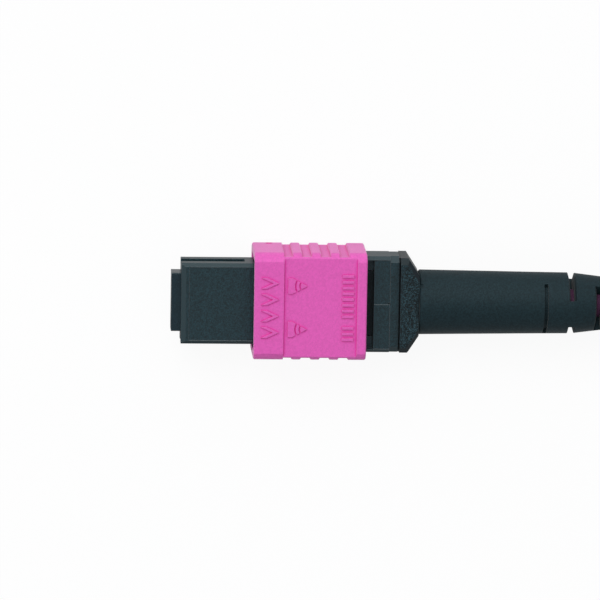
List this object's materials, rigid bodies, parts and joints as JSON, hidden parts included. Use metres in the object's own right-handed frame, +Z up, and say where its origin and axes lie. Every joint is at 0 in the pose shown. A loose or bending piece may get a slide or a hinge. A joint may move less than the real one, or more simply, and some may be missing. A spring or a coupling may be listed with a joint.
{
  "type": "multi-fibre optical connector",
  "caption": "Push-pull multi-fibre optical connector with a sprung rectangular ferrule, a sliding ribbed sleeve, a slotted boot and a round cable tied in a hank.",
  "frame": {"origin": "centre of the ferrule's end face", "axes": "+X along the optical axis from the mating face back to the cable, +Y across the wide side, +Z up out of the upper broad face"},
  "size_m": [0.12, 0.032, 0.0132],
  "materials": {
    "housing": "moulded, fine sparked surface",
    "sleeve": "moulded, satin",
    "boot": "moulded soft grip",
    "ferrule": "moulded glass-filled, polished end",
    "keeper": "moulded",
    "seal": "moulded soft",
    "spring": "drawn and coiled wire",
    "crimp_metal": "turned and plated",
    "yarn": "loose yarn",
    "jacket": "extruded, matt",
    "tie": "woven hook and loop",
    "fibre_blue": "thin cured coat",
    "fibre_orange": "thin cured coat",
    "fibre_green": "thin cured coat",
    "fibre_brown": "thin cured coat",
    "fibre_slate": "thin cured coat",
    "fibre_white": "thin cured coat",
    "fibre_red": "thin cured coat",
    "fibre_black": "thin cured coat",
    "fibre_yellow": "thin cured coat",
    "fibre_violet": "thin cured coat",
    "fibre_rose": "thin cured coat",
    "fibre_aqua": "thin cured coat"
  },
  "bodies": {
    "connector": {"front_housing": "housing", "rear_body": "housing", "strength_yarn": "yarn", "crimp_ring": "crimp_metal", "boot": "boot", "cable_in_boot": "jacket", "cable_lead": "jacket", "cable_hank": "jacket", "hank_tie_near": "tie", "hank_tie_far": "tie", "ferrule_spring": "spring", "sleeve_spring_left": "spring", "sleeve_spring_right": "spring"},
    "ferrule_stack": {"ferrule": "ferrule", "ferrule_seal": "seal", "ferrule_keeper": "keeper", "fibre_01": "fibre_blue", "fibre_02": "fibre_orange", "fibre_03": "fibre_green", "fibre_04": "fibre_brown", "fibre_05": "fibre_slate", "fibre_06": "fibre_white", "fibre_07": "fibre_red", "fibre_08": "fibre_black", "fibre_09": "fibre_yellow", "fibre_10": "fibre_violet", "fibre_11": "fibre_rose", "fibre_12": "fibre_aqua"},
    "sleeve": {"coupling_sleeve": "sleeve"}
  },
  "joints": [
    {"name": "ferrule_float", "type": "slide", "parent": "connector", "child": "ferrule_stack", "axis": [1, 0, 0], "range_m": [0, 0.001], "stiffness_N_per_m": 6000, "deforming": ["ferrule_spring"]},
    {"name": "sleeve_pull", "type": "slide", "parent": "connector", "child": "sleeve", "axis": [1, 0, 0], "range_m": [0, 0.00175], "stiffness_N_per_m": 900, "deforming": ["sleeve_spring_left", "sleeve_spring_right"]}
  ]
}
